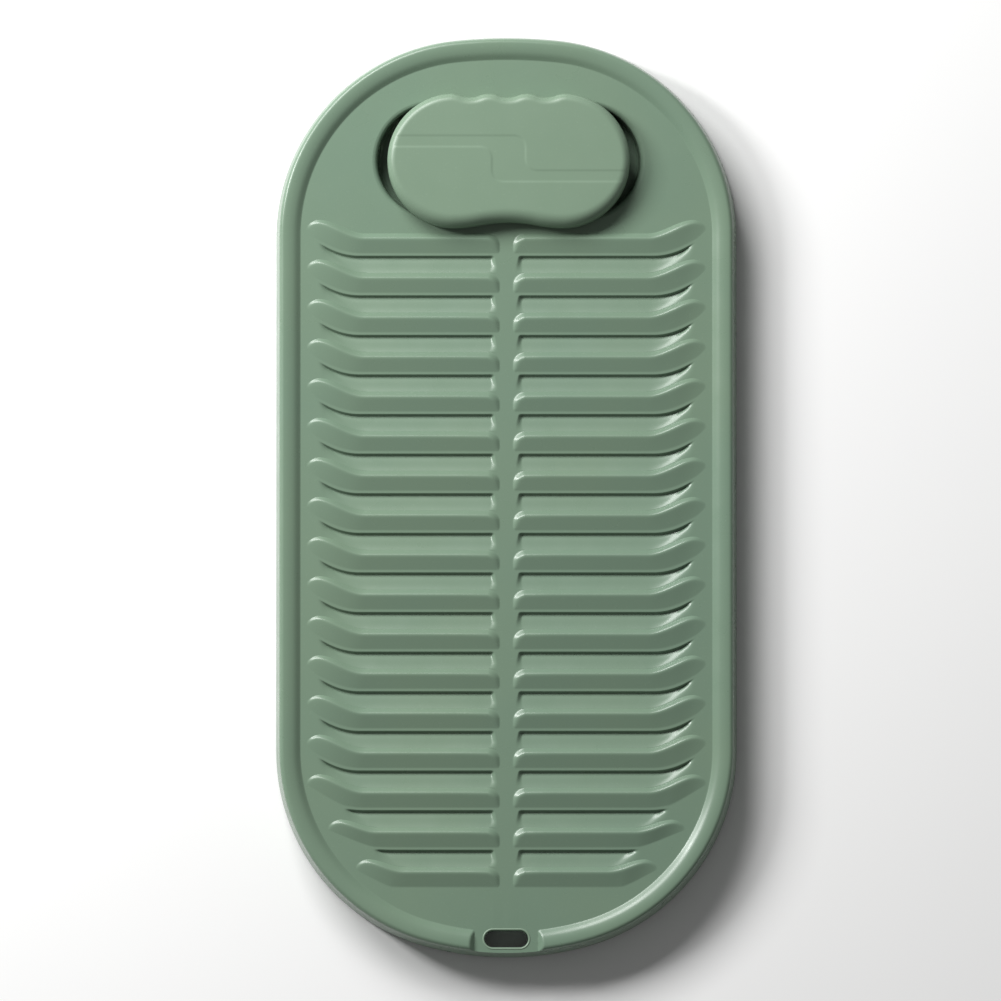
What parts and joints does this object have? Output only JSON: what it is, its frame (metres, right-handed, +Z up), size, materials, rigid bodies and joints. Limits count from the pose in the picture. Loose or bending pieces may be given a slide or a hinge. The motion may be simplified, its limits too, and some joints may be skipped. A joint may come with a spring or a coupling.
{
  "type": "washboard",
  "caption": "Rounded plastic washboard with two columns of saw-toothed rubbing ribs, a raised rim, a hanging slot and a scrubbing brush that lifts out of a pocket.",
  "frame": {"origin": "middle of the footprint, on the surface that the six feet stand on", "axes": "+X across the board, +Y along it from the hanging slot to the brush pocket, +Z up out of the scrubbing face"},
  "size_m": [0.25, 0.4999, 0.0348],
  "materials": {
    "board_plastic": "satin moulded polypropylene, sage green",
    "brush_plastic": "satin moulded polypropylene, sage green, a touch lighter than the board",
    "plate_plastic": "plain moulded polypropylene, sage green",
    "foot_rubber": "soft matt rubber, dark grey",
    "bristle_nylon": "off-white nylon filament",
    "anchor_steel": "plain drawn wire"
  },
  "bodies": {
    "board": {"board_shell": "board_plastic", "foot_top_left": "foot_rubber", "foot_top_right": "foot_rubber", "foot_middle_left": "foot_rubber", "foot_middle_right": "foot_rubber", "foot_low_left": "foot_rubber", "foot_low_right": "foot_rubber"},
    "brush": {"brush_handle": "brush_plastic", "bristle_plate": "plate_plastic", "bristle_row_1": "bristle_nylon", "bristle_row_2": "bristle_nylon", "bristle_row_3": "bristle_nylon", "bristle_row_4": "bristle_nylon", "bristle_row_5": "bristle_nylon", "bristle_row_6": "bristle_nylon", "anchor_row_1": "anchor_steel", "anchor_row_2": "anchor_steel", "anchor_row_3": "anchor_steel", "anchor_row_4": "anchor_steel", "anchor_row_5": "anchor_steel", "anchor_row_6": "anchor_steel"}
  },
  "joints": [
    {"name": "brush_lift", "type": "slide", "parent": "board", "child": "brush", "axis": [0, 0, 1], "range_m": [0, 0.06]}
  ]
}
